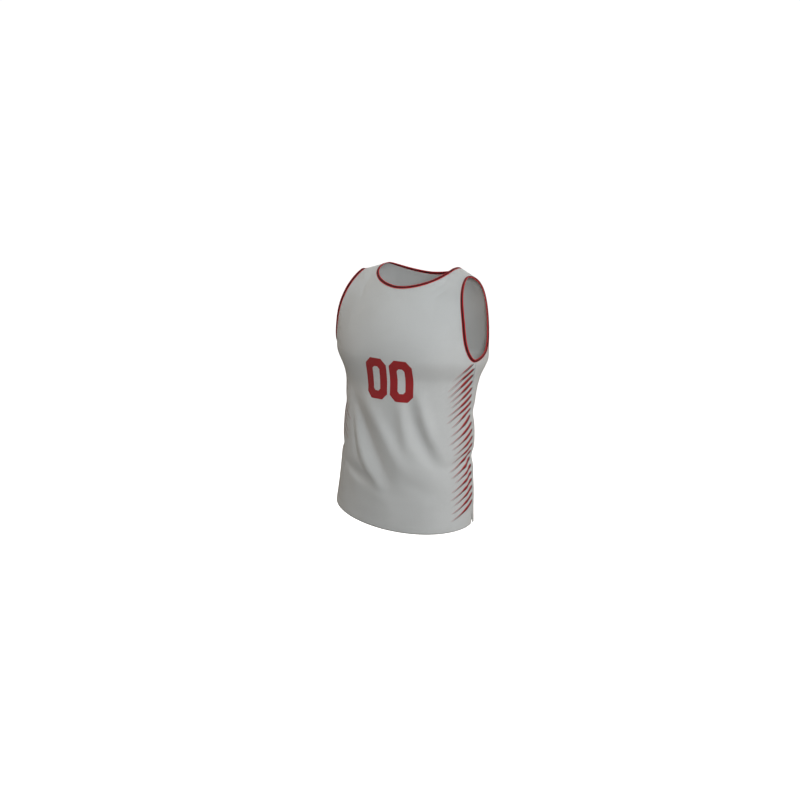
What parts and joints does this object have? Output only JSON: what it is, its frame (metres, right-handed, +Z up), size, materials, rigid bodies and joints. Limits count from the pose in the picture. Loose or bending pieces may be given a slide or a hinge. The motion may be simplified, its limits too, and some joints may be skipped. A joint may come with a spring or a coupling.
{
  "type": "basketball jersey",
  "caption": "Sleeveless knit sports jersey in its hollow, worn form: round neck, deep armholes, side slits, striped rib bands and tapered side slashes.",
  "frame": {"origin": "midway between the two shoulder straps, at the height of the neck points, where the wearer's shoulders hold the garment", "axes": "+Z up the garment, the chest faces -Y, +X towards the wearer's left"},
  "size_m": [0.4582, 0.2892, 0.7188],
  "materials": {
    "grey_knit": "soft matt mesh knit",
    "striped_rib": "matt rib, red edges and a black middle",
    "red_print": "matt ink in the knit",
    "black_print": "matt ink in the knit",
    "grey_thread": "matt sewing thread"
  },
  "bodies": {
    "root": {"front": "grey_knit", "back": "grey_knit", "neck_binding": "striped_rib", "armhole_binding_left": "striped_rib", "armhole_binding_right": "striped_rib"}
  },
  "joints": []
}
